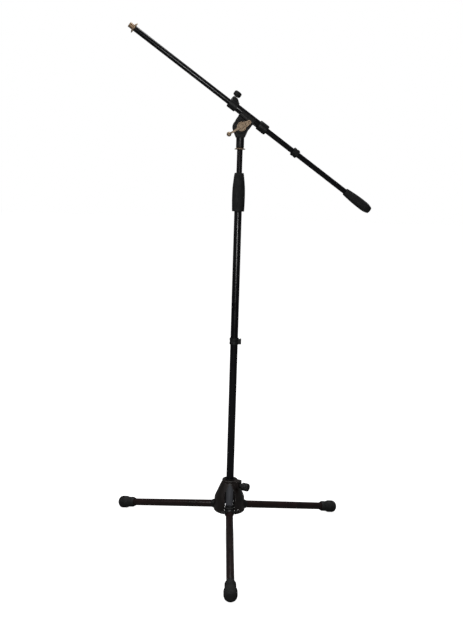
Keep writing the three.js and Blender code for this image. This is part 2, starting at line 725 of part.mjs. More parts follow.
function addBoomTube(axis) {
  const inner = BOOM_R - BOOM_WALL;
  piece(axis, "boom_tube", alongX(pipe(BOOM_R, inner, BOOM_TIP_X, BOOM_TAIL_X)), "black_paint");

  // The tip's threaded stud is drawn with its thread towards +Z and turned to face -X.
  const studLength = BOOM_TIP_X - THREAD_END_X;
  const stud = turned([
    [0, -24],
    [inner - GAP, -24],
    [inner - GAP, GAP],
    [THREAD_R, GAP],
    [THREAD_R, studLength - 0.9],
    [THREAD_R - 0.9, studLength],
    [4.2, studLength],
    [4.2, studLength - 8],
    [0, studLength - 8],
  ]);
  const tip = group(axis, [BOOM_TIP_X, 0, 0]);
  tip.rotation.y = -Math.PI / 2;
  piece(tip, "boom_tip_stud", stud, "nickel");
  piece(tip, "boom_tip_ring", dishedRing(THREAD_R + 0.35).translate(0, 0, 2.2), "nickel");

  // Its hook stands towards -Y and opens downwards.
  const clip = alongX(cableClip(BOOM_R + GAP, 11.8, 20, BOOM_CLIP_LENGTH).rotateZ(-Math.PI / 2));
  piece(axis, "boom_cable_clip", clip.translate(BOOM_CLIP_X, 0, 0), "black_plastic");

  const skin = [];
  const skinSteps = 10;
  for (let i = 0; i <= skinSteps; i++) {
    const x = WEIGHT_START_X + (i / skinSteps) * (WEIGHT_END_X - WEIGHT_START_X);
    skin.push([weightGripProfile(x), x]);
  }
  const slugEnd = WEIGHT_END_X - 8;
  const slugR = 8.4;
  const grip = alongX(
    turned([
      [BOOM_R + GAP, WEIGHT_START_X],
      ...skin,
      [7, WEIGHT_END_X + 0.6],
      [0, WEIGHT_END_X + 1],
      [0, slugEnd + GAP],
      [slugR + GAP, slugEnd + GAP],
      [slugR + GAP, BOOM_TAIL_X - 2],
      [BOOM_R + GAP, BOOM_TAIL_X - 2],
    ]),
  );
  piece(axis, "counterweight_grip", grip, "black_rubber");
  const slug = turned([
    [0, BOOM_TAIL_X - 22],
    [inner - GAP, BOOM_TAIL_X - 22],
    [inner - GAP, BOOM_TAIL_X + GAP],
    [slugR, BOOM_TAIL_X + GAP],
    [slugR, slugEnd - 1],
    [slugR - 1, slugEnd],
    [0, slugEnd],
  ]);
  piece(axis, "counterweight_slug", alongX(slug), "steel");
}

addTripod();
addPole();
const head = group(stand, [0, 0, PIVOT_Z]);
head.rotation.z = radians(HEAD_TURN);
addHead(head);
const boom = group(head);
boom.rotation.y = radians(BOOM_RISE);
addBoomTube(addBoomHead(boom));

// The footprint's middle becomes the origin.
stand.updateMatrixWorld(true);
const middle = new THREE.Box3().setFromObject(stand, true).getCenter(new THREE.Vector3());
stand.position.set(-middle.x, -middle.y, 0);

export default stand;
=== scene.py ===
import json
import math

import bmesh
import bpy
from mathutils import Matrix, Vector


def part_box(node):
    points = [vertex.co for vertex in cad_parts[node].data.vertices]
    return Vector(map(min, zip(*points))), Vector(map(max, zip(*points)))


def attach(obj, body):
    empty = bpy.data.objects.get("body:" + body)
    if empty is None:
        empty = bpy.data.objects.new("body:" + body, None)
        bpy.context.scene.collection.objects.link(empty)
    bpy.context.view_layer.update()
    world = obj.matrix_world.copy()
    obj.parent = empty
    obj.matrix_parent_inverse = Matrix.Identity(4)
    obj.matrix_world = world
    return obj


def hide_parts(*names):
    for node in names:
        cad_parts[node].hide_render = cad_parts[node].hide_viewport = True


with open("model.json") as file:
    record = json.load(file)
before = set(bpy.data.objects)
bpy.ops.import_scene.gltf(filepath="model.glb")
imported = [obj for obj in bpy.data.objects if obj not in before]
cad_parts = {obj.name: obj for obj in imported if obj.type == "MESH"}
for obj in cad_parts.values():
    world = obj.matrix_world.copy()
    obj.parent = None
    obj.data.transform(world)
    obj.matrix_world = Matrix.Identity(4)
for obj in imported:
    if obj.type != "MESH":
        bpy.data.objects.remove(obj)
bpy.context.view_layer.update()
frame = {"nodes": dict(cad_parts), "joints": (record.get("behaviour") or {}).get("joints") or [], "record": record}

MM = 0.001
GAP = 0.3  # between pieces that fit each other, in millimetres
joints = {joint["name"]: joint for joint in frame["joints"]}


# ------------------------------------------------------------------ local frames
def axes_frame(origin, x_axis, y_axis):
    x, y = Vector(x_axis).normalized(), Vector(y_axis).normalized()
    z = x.cross(y).normalized()
    made = Matrix((x, y, z)).transposed().to_4x4()
    made.translation = Vector(origin)
    return made


def node_points(node):
    return [v.co for v in frame["nodes"][node].data.vertices]


def extent(node, place):
    """Lowest and highest corner of a CAD node in a local frame, in millimetres."""
    back = place.inverted()
    local = [(back @ p) / MM for p in node_points(node)]
    return [min(p[i] for p in local) for i in range(3)], [max(p[i] for p in local) for i in range(3)]


def span(node, place):
    """(outer radius, start, end) of a round CAD node about a frame's Z, in millimetres."""
    low, high = extent(node, place)
    return max(high[0], high[1]), low[2], high[2]


Z_TO_X = Matrix.Rotation(math.pi / 2, 4, "Y")
Z_TO_Y = Matrix.Rotation(-math.pi / 2, 4, "X")

tube_low, tube_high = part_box("lower_tube")
POLE = Matrix.Translation(((tube_low.x + tube_high.x) / 2, (tube_low.y + tube_high.y) / 2, 0))
tilt = joints["boom_tilt"]
HEAD = axes_frame(tilt["pos_m"], Vector(tilt["axis"]).cross(Vector((0, 0, 1))), tilt["axis"])
BOOM = axes_frame(joints["boom_roll"]["pos_m"], joints["boom_slide"]["axis"], tilt["axis"])
ROD = BOOM @ Z_TO_X
BOOM_OFFSET = (Vector(joints["boom_roll"]["pos_m"]) - Vector(tilt["pos_m"])).length / MM


def leg_frame(number):
    fold = joints[f"leg_{number}_fold"]
    points = node_points(f"leg_{number}_tube")
    middle = sum(points, Vector()) / len(points)
    return axes_frame(fold["pos_m"], middle - Vector(fold["pos_m"]), -Vector(fold["axis"]))


LEGS = {number: leg_frame(number) for number in (1, 2, 3)}


def leg_azimuth(number):
    axis = joints[f"leg_{number}_fold"]["axis"]
    return math.atan2(axis[0], -axis[1])


# ------------------------------------------------------------------ outlines
def rounded(points, radius, closed=True, steps=3):
    """An outline whose corners are replaced by short curves of about that radius."""
    made = []
    count = len(points)
    for i, (u, v) in enumerate(points):
        if not closed and i in (0, count - 1):
            made.append((u, v))
            continue
        here = Vector((u, v))
        before = Vector(points[i - 1]) - here
        after = Vector(points[(i + 1) % count]) - here
        reach = min(radius, before.length * 0.45, after.length * 0.45)
        on_axis = abs(u) < 1e-6
        if reach < 0.02 or on_axis:
            made.append((u, v))
            continue
        start, end = here + before.normalized() * reach, here + after.normalized() * reach
        for step in range(steps + 1):
            t = step / steps
            spot = start * (1 - t) ** 2 + here * 2 * t * (1 - t) + end * t**2
            made.append((spot.x, spot.y))
    return made


def arc(centre, radius, first, last, steps=24):
    """Points of an arc, its angles in degrees."""
    made = []
    for step in range(steps + 1):
        angle = math.radians(first + (last - first) * step / steps)
        made.append((centre[0] + radius * math.cos(angle), centre[1] + radius * math.sin(angle)))
    return made


def finely(points, step):
    """The same outline with extra points, so that no side is longer than step."""
    made = []
    for (u0, v0), (u1, v1) in zip(points, points[1:] + points[:1]):
        parts = max(1, math.ceil(math.hypot(u1 - u0, v1 - v0) / step))
        made += [(u0 + (u1 - u0) * i / parts, v0 + (v1 - v0) * i / parts) for i in range(parts)]
    return made


# ------------------------------------------------------------------ mesh tools
def mesh_object(name, points, faces, place):
    mesh = bpy.data.meshes.new(name)
    mesh.from_pydata([place @ (Vector(p) * MM) for p in points], [], faces)
    work = bmesh.new()
    work.from_mesh(mesh)
    bmesh.ops.remove_doubles(work, verts=work.verts, dist=0.004 * MM)
    bmesh.ops.recalc_face_normals(work, faces=work.faces)
    work.to_mesh(mesh)
    work.free()
    made = bpy.data.objects.new(name, mesh)
    bpy.context.scene.collection.objects.link(made)
    return made


def turned(name, outline, place, facets=72, relief=None, turn=0.0):
    """A closed (radius, height) outline turned about the frame's Z.

    relief(angle, radius, height) says how far a point moves out.
    """
    points, faces = [], []
    for step in range(facets):
        angle = turn + 2 * math.pi * step / facets
        for radius, height in outline:
            r = radius + (relief(angle, radius, height) if relief else 0)
            points.append((r * math.cos(angle), r * math.sin(angle), height))
    rows = len(outline)
    for step in range(facets):
        here, there = step * rows, (step + 1) % facets * rows
        for i in range(rows):
            j = (i + 1) % rows
            if outline[i][0] < 1e-6 and outline[j][0] < 1e-6:
                continue
            faces.append((here + i, here + j, there + j, there + i))
    return mesh_object(name, points, faces, place)


def plate(name, outline, low, high, place):
    """A flat outline in the frame's X and Y, from low to high along its Z."""
    count = len(outline)
    points = [(u, v, low) for u, v in outline] + [(u, v, high) for u, v in outline]
    faces = [tuple(range(count))[::-1], tuple(range(count, 2 * count))]
    faces += [(i, (i + 1) % count, (i + 1) % count + count, i + count) for i in range(count)]
    return mesh_object(name, points, faces, place)


def box_piece(name, x, y, z, place):
    return plate(name, [(x[0], y[0]), (x[1], y[0]), (x[1], y[1]), (x[0], y[1])], z[0], z[1], place)


def rod(name, radius, start, end, place, facets=48):
    return turned(name, [(0, start), (radius, start), (radius, end), (0, end)], place, facets)


def ball(name, radius, centre, place):
    outline = arc((0, 0), radius, -90, 90, 20)
    outline = [(max(u, 0), v) for u, v in outline]
    return turned(name, outline, place @ Matrix.Translation(Vector(centre) * MM), 40)


def bake(piece):
    """Applies a piece's modifiers to its mesh."""
    bpy.context.view_layer.update()
    evaluated = piece.evaluated_get(bpy.context.evaluated_depsgraph_get())
    mesh = bpy.data.meshes.new_from_object(evaluated)
    piece.modifiers.clear()
    piece.data = mesh
    return piece


def combine(piece, others, operation):
    for other in others:
        step = piece.modifiers.new("step", "BOOLEAN")
        step.operation = operation
        step.solver = "MANIFOLD"
        step.object = other
    bake(piece)
    for other in others:
        bpy.data.objects.remove(other)
    return piece


def fuse(piece, *others):
    return combine(piece, others, "UNION")


def carve(piece, *others):
    return combine(piece, others, "DIFFERENCE")


def cast(piece, grain, passes=4):
    """Turns a piece into one even skin whose edges and inner corners are soft, as a casting's are."""
    remesh = piece.modifiers.new("skin", "REMESH")
    remesh.mode = "VOXEL"
    remesh.voxel_size = grain * MM
    soften = piece.modifiers.new("soften", "SMOOTH")
    soften.factor = 0.5
    soften.iterations = passes
    return bake(piece)


def smooth(piece, sharp_angle=38):
    for face in piece.data.polygons:
        face.use_smooth = True
    piece.data.set_sharp_from_angle(angle=math.radians(sharp_angle))
    return piece


def finish_piece(piece, body, slot, *nodes, sharp_angle=38):
    """Gives a piece its material and its body, and hides the CAD nodes that it stands for."""
    smooth(piece, sharp_angle)
    piece.data.materials.clear()
    piece.data.materials.append(MATERIALS[slot])
    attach(piece, body)
    if nodes:
        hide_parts(*nodes)
    return piece


# ------------------------------------------------------------------ materials
def principled(name):
    material = bpy.data.materials.new(name)
    material.use_nodes = True
    tree = material.node_tree
    return material, tree, tree.nodes["Principled BSDF"]


def add_node(tree, kind, **inputs):
    made = tree.nodes.new(kind)
    for key, value in inputs.items():
        made.inputs[key.replace("_", " ")].default_value = value
    return made


def remap(tree, source, low, high, to_low, to_high):
    made = tree.nodes.new("ShaderNodeMapRange")
    for key, value in (("From Min", low), ("From Max", high), ("To Min", to_low), ("To Max", to_high)):
        made.inputs[key].default_value = value
    tree.links.new(source, made.inputs["Value"])
    return made.outputs["Result"]


def texture_noise(tree, scale, detail=4.0, roughness=0.6, stretch=None):
    coordinates = tree.nodes.new("ShaderNodeTexCoord").outputs["Object"]
    if stretch:
        mapping = tree.nodes.new("ShaderNodeMapping")
        mapping.inputs["Scale"].default_value = stretch
        tree.links.new(coordinates, mapping.inputs["Vector"])
        coordinates = mapping.outputs["Vector"]
    made = add_node(tree, "ShaderNodeTexNoise", Scale=scale, Detail=detail, Roughness=roughness)
    tree.links.new(coordinates, made.inputs["Vector"])
    return made.outputs["Fac"]


def mixed(tree, factor, first, second):
    """Mixes two colours or colour outputs by a 0 to 1 output."""
    made = tree.nodes.new("ShaderNodeMix")
    made.data_type = "RGBA"
    for socket, value in ((made.inputs[6], first), (made.inputs[7], second)):
        if isinstance(value, tuple):
            socket.default_value = (*value, 1)
        else:
            tree.links.new(value, socket)
    tree.links.new(factor, made.inputs[0])
    return made.outputs[2]


def bumped(tree, shader, heights):
    """Chains bump nodes; heights are (output, strength, distance in millimetres)."""
    normal = None
    for height, strength, distance in heights:
        made = add_node(tree, "ShaderNodeBump", Strength=strength, Distance=distance * MM)
        tree.links.new(height, made.inputs["Height"])
        if normal:
            tree.links.new(normal, made.inputs["Normal"])
        normal = made.outputs["Normal"]
    tree.links.new(normal, shader.inputs["Normal"])


def uneven_gloss(tree, shader, source, low, high, gloss):
    """Varies the roughness between the two values of gloss."""
    tree.links.new(remap(tree, source, low, high, *gloss), shader.inputs["Roughness"])


def edge_wear(tree, low, high):
    """0 on flats and 1 on convex edges, broken up by noise."""
    pointiness = tree.nodes.new("ShaderNodeNewGeometry").outputs["Pointiness"]
    edge = remap(tree, pointiness, low, high, 0, 1)
    patchy = remap(tree, texture_noise(tree, 240), 0.42, 0.62, 0, 1)
    both = tree.nodes.new("ShaderNodeMath")
    both.operation = "MULTIPLY"
    tree.links.new(edge, both.inputs[0])
    tree.links.new(patchy, both.inputs[1])
    return both.outputs[0]


def enamel(name, dark, light, gloss, painted_highlight=None, painted_highlight_below=0.0):
    """Enamel on steel tube: faint orange peel and dust, and, when a second colour is given, a painted highlight:
    that pale colour below a height in metres.
    """
    material, tree, shader = principled(name)
    dust = remap(tree, texture_noise(tree, 38, 6), 0.35, 0.75, 0, 1)
    color = mixed(tree, dust, dark, light)
    # painted highlight: below the given height the colour turns to the pale one, standing in for a reflection of
    # the lamps on the tube
    if painted_highlight:
        split = tree.nodes.new("ShaderNodeSeparateXYZ")
        tree.links.new(tree.nodes.new("ShaderNodeTexCoord").outputs["Object"], split.inputs["Vector"])
        low = remap(tree, split.outputs["Z"], painted_highlight_below - 0.006, painted_highlight_below, 1, 0)
        color = mixed(tree, low, color, painted_highlight)
    tree.links.new(color, shader.inputs["Base Color"])
    uneven_gloss(tree, shader, texture_noise(tree, 60, 3, 0.5), 0.3, 0.75, gloss)
    shader.inputs["Metallic"].default_value = 0.0
    bumped(tree, shader, [(texture_noise(tree, 120, 1, 0.3), 0.05, 0.02)])
    return material


def casting(name, dark, light, worn, gloss, coat):
    """A painted casting: fine sandy skin, blotches and edges worn lighter."""
    material, tree, shader = principled(name)
    blotch = remap(tree, texture_noise(tree, 55, 6), 0.35, 0.7, 0, 1)
    base = mixed(tree, blotch, dark, light)
    tree.links.new(mixed(tree, edge_wear(tree, 0.52, 0.60), base, worn), shader.inputs["Base Color"])
    uneven_gloss(tree, shader, texture_noise(tree, 130, 5), 0.3, 0.7, gloss)
    shader.inputs["Coat Weight"].default_value = coat
    shader.inputs["Coat Roughness"].default_value = 0.22
    sand = texture_noise(tree, 1500, 3, 0.65)
    waves = texture_noise(tree, 140, 3, 0.5)
    bumped(tree, shader, [(waves, 0.2, 0.2), (sand, 0.2, 0.06)])
    return material


def moulded(name, dark, light, gloss, grain):
    """Moulded plastic or rubber: fine spark-eroded grain, handling marks and dust in it."""
    material, tree, shader = principled(name)
    dust = remap(tree, texture_noise(tree, 70, 6), 0.4, 0.75, 0, 1)
    tree.links.new(mixed(tree, dust, dark, light), shader.inputs["Base Color"])
    uneven_gloss(tree, shader, texture_noise(tree, 90, 5), 0.3, 0.7, gloss)
    fine = texture_noise(tree, 2200, 2, 0.6)
    flow = texture_noise(tree, 120, 3, 0.5)
    bumped(tree, shader, [(flow, 0.15, 0.15), (fine, grain, 0.08)])
    return material


def plated(name, bright, dull, gloss, tarnish_from):
    """Plated or bare metal: fine polishing lines and patches of tarnish."""
    material, tree, shader = principled(name)
    patches = remap(tree, texture_noise(tree, 95, 7, 0.65), tarnish_from, tarnish_from + 0.3, 0, 1)
    tree.links.new(mixed(tree, patches, bright, dull), shader.inputs["Base Color"])
    lines = texture_noise(tree, 420, 3, 0.6, stretch=(1, 1, 5))
    uneven_gloss(tree, shader, lines, 0.3, 0.7, gloss)
    shader.inputs["Metallic"].default_value = 0.85
    bumped(tree, shader, [(lines, 0.03, 0.02), (texture_noise(tree, 90, 2), 0.05, 0.06)])
    return material


PAINT = (0.0035, 0.0035, 0.005), (0.007, 0.007, 0.009), (0.2, 0.28)
# Painted highlight: a pale blue-grey painted on the lower tube below this height, where it shows through the hub's
# slots, in place of the lamps' reflection on the black tube.
PAINTED_HIGHLIGHT_COLOUR = (0.24, 0.25, 0.28)
PAINTED_HIGHLIGHT_BELOW = 0.150  # metres above the floor

LOOKS = {
    "black_paint": (enamel, *PAINT),
    "leg_paint": (enamel, (0.010, 0.0048, 0.0044), (0.034, 0.0145, 0.0135), (0.26, 0.38)),
    "cast_hub": (
        casting, (0.006, 0.0036, 0.0030), (0.018, 0.0100, 0.0085), (0.13, 0.085, 0.078), (0.28, 0.42),
        0.35,
    ),
    "cast_black": (
        casting, (0.005, 0.005, 0.005), (0.011, 0.010, 0.010), (0.04, 0.037, 0.035), (0.32, 0.48), 0.0,
    ),
    "black_plastic": (moulded, (0.007, 0.0075, 0.0075), (0.018, 0.018, 0.018), (0.38, 0.55), 0.35),
    "black_rubber": (moulded, (0.010, 0.011, 0.011), (0.027, 0.027, 0.026), (0.58, 0.82), 0.6),
    "nickel": (plated, (0.66, 0.50, 0.35), (0.46, 0.34, 0.23), (0.36, 0.48), 0.5),
    "steel": (plated, (0.55, 0.54, 0.53), (0.3, 0.28, 0.26), (0.28, 0.48), 0.5),
    "nylon": (moulded, (0.62, 0.58, 0.5), (0.72, 0.69, 0.62), (0.4, 0.6), 0.2),
    "brass": (plated, (0.72, 0.5, 0.22), (0.4, 0.27, 0.12), (0.25, 0.45), 0.5),
    "fibre": (moulded, (0.16, 0.05, 0.025), (0.24, 0.085, 0.045), (0.6, 0.8), 0.4),
}
MATERIALS = {name: make(name, *values) for name, (make, *values) in LOOKS.items()}

for part in frame["record"]["subparts"]:
    cad_object = frame["nodes"][part["node"]]
    cad_object.data.materials.clear()
    cad_object.data.materials.append(MATERIALS[part["material_slot"]])


# ------------------------------------------------------------------ reliefs
FLUTE_SKIN = 9.6  # only skin further out than this is fluted


def fluted(count, depth, low, high):
    """Round flutes between two heights, on the outermost skin only."""

    def relief(angle, radius, height):
        if not low < height < high:
            return 0
        fade = min(1, (height - low) / 1.5, (high - height) / 1.5)
        return -depth * fade * (0.5 - 0.5 * math.cos(count * angle)) ** 0.7 if radius > FLUTE_SKIN else 0

    return relief


def diamonds(count, pitch, depth, low, high, skin):
    """Crossed grooves that leave small raised diamonds, as on a moulded rubber grip."""

    def relief(angle, radius, height):
        if radius < skin or not low < height < high:
            return 0
        fade = min(1, (height - low) / 2, (high - height) / 2)
        turns, rise = angle * count / (2 * math.pi), height / pitch
        groove_a = abs((turns + rise) % 1 - 0.5) * 2
        groove_b = abs((turns - rise) % 1 - 0.5) * 2
        nearest = 1 - max(groove_a, groove_b)
        return -depth * fade * max(0, 1 - nearest / 0.3)

    return relief


def thread(pitch, depth, low, high, skin):
    """A screw thread's ridges, cut inwards from the skin."""

    def relief(angle, radius, height):
        if radius < skin or not low < height < high:
            return 0
        fade = min(1, (height - low) / pitch, (high - height) / pitch)
        phase = (height / pitch - angle / (2 * math.pi)) % 1
        return -depth * fade * (1 - abs(phase - 0.5) * 2)

    return relief


# ------------------------------------------------------------------ tubes and plain turned pieces
def tube(node, body, place, wall, slot):
    radius, start, end = span(node, place)
    outline = [(radius - wall, start), (radius, start), (radius, end), (radius - wall, end)]
    piece = turned(f"{node}_skin", rounded(outline, 0.45), place, 96)
    return finish_piece(piece, body, slot, node)


lower_tube = tube("lower_tube", "mast", POLE, 1.5, "black_paint")
# The lower tube's paint carries a painted highlight: pale blue-grey below the given height.
lower_tube.data.materials[0] = enamel("paint_with_painted_highlight", *PAINT, PAINTED_HIGHLIGHT_COLOUR, PAINTED_HIGHLIGHT_BELOW)
tube("upper_tube", "upper_mast", POLE, 1.2, "black_paint")
tube("boom_tube", "boom_rod", ROD, 1.2, "black_paint")
tube("boom_sleeve", "boom_head", ROD, 1.25, "black_paint")
for number, place in LEGS.items():
    tube(f"leg_{number}_tube", f"leg_{number}", place @ Z_TO_X, 1.2, "leg_paint")

# Planes to draw plates in: SIDE puts an outline's (u, v) on Y and Z, FRONT puts it on X and Z.
SIDE = Matrix(((0, 0, 1, 0), (1, 0, 0, 0), (0, 1, 0, 0), (0, 0, 0, 1)))
FRONT = Matrix(((1, 0, 0, 0), (0, 0, -1, 0), (0, 1, 0, 0), (0, 0, 0, 1)))


def shifted(place, x=0.0, y=0.0, z=0.0):
    return place @ Matrix.Translation(Vector((x, y, z)) * MM)


# ------------------------------------------------------------------ tripod base
lock_joint = joints["base_knob_turn"]
lock_axis = Vector(lock_joint["axis"])
LOCK_Z = lock_joint["pos_m"][2] / MM
LOCK = axes_frame(
    (POLE.translation.x, POLE.translation.y, LOCK_Z * MM), lock_axis, Vector((0, 0, 1)).cross(lock_axis)
)
HUB_SKIRT_R = 42.0
PIN_R = 3.0
PIN_Z = LEGS[1].translation.z / MM


def hub():
    low, high = extent("base_hub", POLE)
    skirt_r, bottom, top = HUB_SKIRT_R, low[2], high[2]
    collar_r, bore_r = 21.0, 12.4
    collar_bottom = top - 7.5
    outline = [
        (skirt_r, bottom), (skirt_r, bottom + 4.5), (skirt_r - 1.5, bottom + 6.5), (39.7, 106), (36.5, 115),
        (collar_r + 0.8, collar_bottom - 1), (collar_r, collar_bottom), (collar_r, top), (bore_r, top),
        (bore_r, 140), (20, 138), (35.5, 106), (36.5, bottom),
    ]
    body = turned("base_hub_casting", rounded(outline, 2.6, steps=5), POLE, 160)
    half, apex, shoulder = 14.0, 148.0, 126.0
    slot = [
        (-2, apex), (-half, shoulder), (-half, bottom - 9), (half, bottom - 9), (half, shoulder), (2, apex),
    ]
    rim = [
        (-4, apex + 3.5), (-half - 3, shoulder + 0.5), (-half - 3, bottom), (half + 3, bottom),
        (half + 3, shoulder + 0.5), (4, apex + 3.5),
    ]
    raised = [(r + 1.1, z) for r, z in outline[3:6]]
    rim_skin = [(20, 90), (40.9, 90), *raised, (20, collar_bottom - 1)]
    additions, slots = [], []
    for number in (1, 2, 3):
        way = POLE @ Matrix.Rotation(leg_azimuth(number), 4, "Z")
        frame_rim = turned("rim", rounded(rim_skin, 2, steps=4), way, 160)
        window = plate("window", rounded(rim, 2), 15, 60, way @ SIDE)
        combine(frame_rim, [window], "INTERSECT")
        hollow = turned("hollow", [(0, 60), (19, 60), (33, 106), (19, 139), (0, 139)], way, 64)
        additions.append(carve(frame_rim, hollow))
        for side in (-1, 1):
            y = sorted((side * 13.8, side * 17.6))
            additions.append(box_piece("lug", (24, 35.4), y, (bottom, 92), way))
        slots.append(plate("slot", rounded(slot, 1.5), 6, 60, way @ SIDE))
        slots.append(rod("pin_way", PIN_R + 1.1, 10, 45, shifted(way, x=32, z=PIN_Z) @ Z_TO_Y))
    boss_end = extent("base_lock_knob", LOCK)[0][0] - 1
    crown = top - LOCK_Z
    boss = [(10, crown - 1.2), (9, crown - 0.2), (-9, crown - 0.2), (-10, crown - 1.2)]
    boss += arc((0, 0), 10, 180, 360, 28)
    additions.append(plate("boss", boss, bore_r + 0.6, boss_end, LOCK @ SIDE))
    fuse(body, *additions)
    screw_way = rod("screw_way", PIN_R + GAP, bore_r - 2, boss_end + 2, LOCK @ Z_TO_X)
    carve(body, *slots, screw_way)
    return finish_piece(cast(body, 0.62, 3), "base", "cast_hub", "base_hub", sharp_angle=60)


hub()

bush_r, bush_low, bush_top = span("mast_bushing", POLE)
flange = bush_top - 1.3
bush = [
    (10.3, bush_low), (12.1, bush_low), (12.1, flange), (bush_r, flange), (bush_r, bush_top),
    (10.3, bush_top),
]
finish_piece(turned("mast_bushing_ring", rounded(bush, 0.4), POLE), "base", "black_plastic", "mast_bushing")

screw_r, screw_in, screw_out = span("base_lock_screw", LOCK @ Z_TO_X)
shank = [(0, screw_in), (screw_r, screw_in), (screw_r, screw_out), (0, screw_out)]
screw = turned(
    "base_lock_screw_thread", finely(rounded(shank, 0.4), 0.25), LOCK @ Z_TO_X, 48,
    thread(1.0, 0.5, screw_in, screw_out, screw_r - 0.1),
)
finish_piece(screw, "base_knob", "steel", "base_lock_screw", sharp_angle=70)


def base_knob():
    radius, start, end = span("base_lock_knob", LOCK @ Z_TO_X)
    neck, cup = 6.4, screw_out + 0.4
    outline = [
        (PIN_R + GAP, start), (neck, start), (neck, start + 6), (9, start + 6), (radius, start + 8),
        (radius, end - 3), (radius - 1.6, end - 0.8), (0, end), (0, cup), (PIN_R + GAP, cup),
    ]
    outline = finely(rounded(outline, 1.1), 0.6)
    knob = turned("base_lock_knob_grip", outline, LOCK @ Z_TO_X, 240, fluted(24, 0.55, start + 8, end - 1.2))
    return finish_piece(knob, "base_knob", "black_plastic", "base_lock_knob", sharp_angle=55)


base_knob()


def knuckle(number, place):
    low, high = extent(f"leg_{number}_knuckle", place)
    heel, reach = -low[0], high[0]
    side = [(-heel, -heel + 1), (-heel + 1, -heel), (9, -heel), (9, heel), (0, heel)]
    side += arc((0, 0), heel, 90, 180, 16)[1:]
    body = plate(f"leg_{number}_knuckle_casting", side, -heel, heel, place @ FRONT)
    combine(body, [rod("round", 15, -heel - 2, 12, place @ Z_TO_X, 96)], "INTERSECT")
    barrel = [(0, 2), (heel, 2), (heel, reach - 5), (10.8, reach - 1), (10.3, reach), (0, reach)]
    fuse(body, turned("barrel", rounded(barrel, 0.6), place @ Z_TO_X, 96))
    socket = rod("socket", extent(f"leg_{number}_tube", place)[1][1] + GAP, 9, 30, place @ Z_TO_X, 96)
    pin_way = rod("pin_way", PIN_R + GAP, -20, 20, place @ Z_TO_Y)
    carve(body, socket, pin_way)
    return finish_piece(
        cast(body, 0.45, 3), f"leg_{number}", "cast_black", f"leg_{number}_knuckle", sharp_angle=60
    )


def foot(number, place):
    low, high = extent(f"leg_{number}_foot", place)
    tip = high[0] - 17  # where the tube ends
    bulb = -low[2]
    bore = extent(f"leg_{number}_tube", place)[1][1] + GAP
    nose = [(0, tip + 17), (6, tip + 16.6), (11.5, tip + 14.6), (15.2, tip + 10.5), (bulb, tip + 6)]
    cuff = [(bulb, tip - 8), (15.4, tip - 12), (14, tip - 14)]
    rings = []
    for ring in range(4):
        start = tip - 16.5 - ring * 4
        rings += [(13.95, start), (13.2, start - 0.7), (13.2, start - 1.6), (13.9, start - 2.3)]
    tail = [(13.8, tip - 32), (11, tip - 38), (bore, tip - 38), (bore, tip + 2), (0, tip + 2)]
    outline = finely(rounded(nose + cuff + rings + tail, 1.0), 0.5)
    grain = diamonds(26, 4.4, 0.4, tip - 9, tip + 7.5, 15)
    boot = turned(f"leg_{number}_foot_boot", outline, place @ Z_TO_X, 208, grain)
    for vertex in boot.data.vertices:
        vertex.co.z = max(vertex.co.z, 0)
    return finish_piece(boot, f"leg_{number}", "black_rubber", f"leg_{number}_foot", sharp_angle=50)


def leg_pin(number, place):
    radius, start, end = span(f"leg_{number}_pin", place @ Z_TO_Y)
    outline = [(0, start), (radius - 0.5, start + 0.1), (radius, start + 0.7)]
    outline += [(radius, end - 0.7), (radius - 0.5, end - 0.1), (0, end)]
    pin = turned(f"leg_{number}_pin_rivet", outline, place @ Z_TO_Y, 40)
    return finish_piece(pin, "base", "steel", f"leg_{number}_pin")


for number, place in LEGS.items():
    knuckle(number, place)
    foot(number, place)
    leg_pin(number, place)

# ------------------------------------------------------------------ pole
plate_r, plate_low, plate_top = span("leg_stop_plate", POLE)
disc = [(PIN_R, plate_low), (plate_r, plate_low), (plate_r, plate_top), (PIN_R, plate_top)]
finish_piece(turned("leg_stop_disc", rounded(disc, 0.9), POLE, 120), "mast", "steel", "leg_stop_plate")

head_r, head_low, _ = span("stop_plate_screw", POLE)
stub = plate_top + 11
dome = [
    (0, head_low + 1.6), (2.1, head_low + 1.6), (2.1, head_low), (head_r - 0.7, head_low),
    (head_r, head_low + 0.6), (head_r, plate_low - 0.3), (2.5, plate_low - 0.3), (2.5, stub), (0, stub),
]
stop_screw = turned("stop_plate_screw_head", rounded(dome, 0.3), POLE, 48)
finish_piece(stop_screw, "mast", "steel", "stop_plate_screw")


def cable_clip(node, body, place, bore, ring_r):
    """A ring round a tube with an open hook beside it, its hook towards the frame's X."""
    low, high = extent(node, place)
    half, hook_r, wall = high[2], high[0], 1.6
    ring = [
        (bore, -half), (ring_r, -half), (ring_r, -2.5), (ring_r - 0.8, -1.8), (ring_r - 0.8, 1.8),
        (ring_r, 2.5), (ring_r, half), (bore, half),
    ]
    body_piece = turned(f"{node}_moulding", rounded(ring, 0.5), place, 120)
    hook = [
        (ring_r - 3, -6.5), (hook_r - 1.4, -6.5), (hook_r - 0.4, -6.1), (hook_r, -5.2), (hook_r, 6),
        (hook_r - wall - 0.3, 6), (hook_r - wall, -4.4), (hook_r - wall - 0.5, -4.9), (ring_r - 3, -4.9),
    ]
    finger = plate("finger", hook, -half + 1, half - 1, place)
    fuse(body_piece, finger)
    carve(body_piece, rod("way", bore, -half - 5, half + 5, place, 120))
    return finish_piece(cast(body_piece, 0.32, 2), body, "black_plastic", node, sharp_angle=60)


clip_z = sum(span("pole_cable_clip", POLE)[1:]) / 2
pole_r = span("lower_tube", POLE)[0]
cable_clip("pole_cable_clip", "mast", shifted(POLE, z=clip_z), pole_r + GAP, 12.3)


GRIP_SHOULDER_Z = 950.0  # the grip necks in above this
GRIP_NECK_Z = 968.0


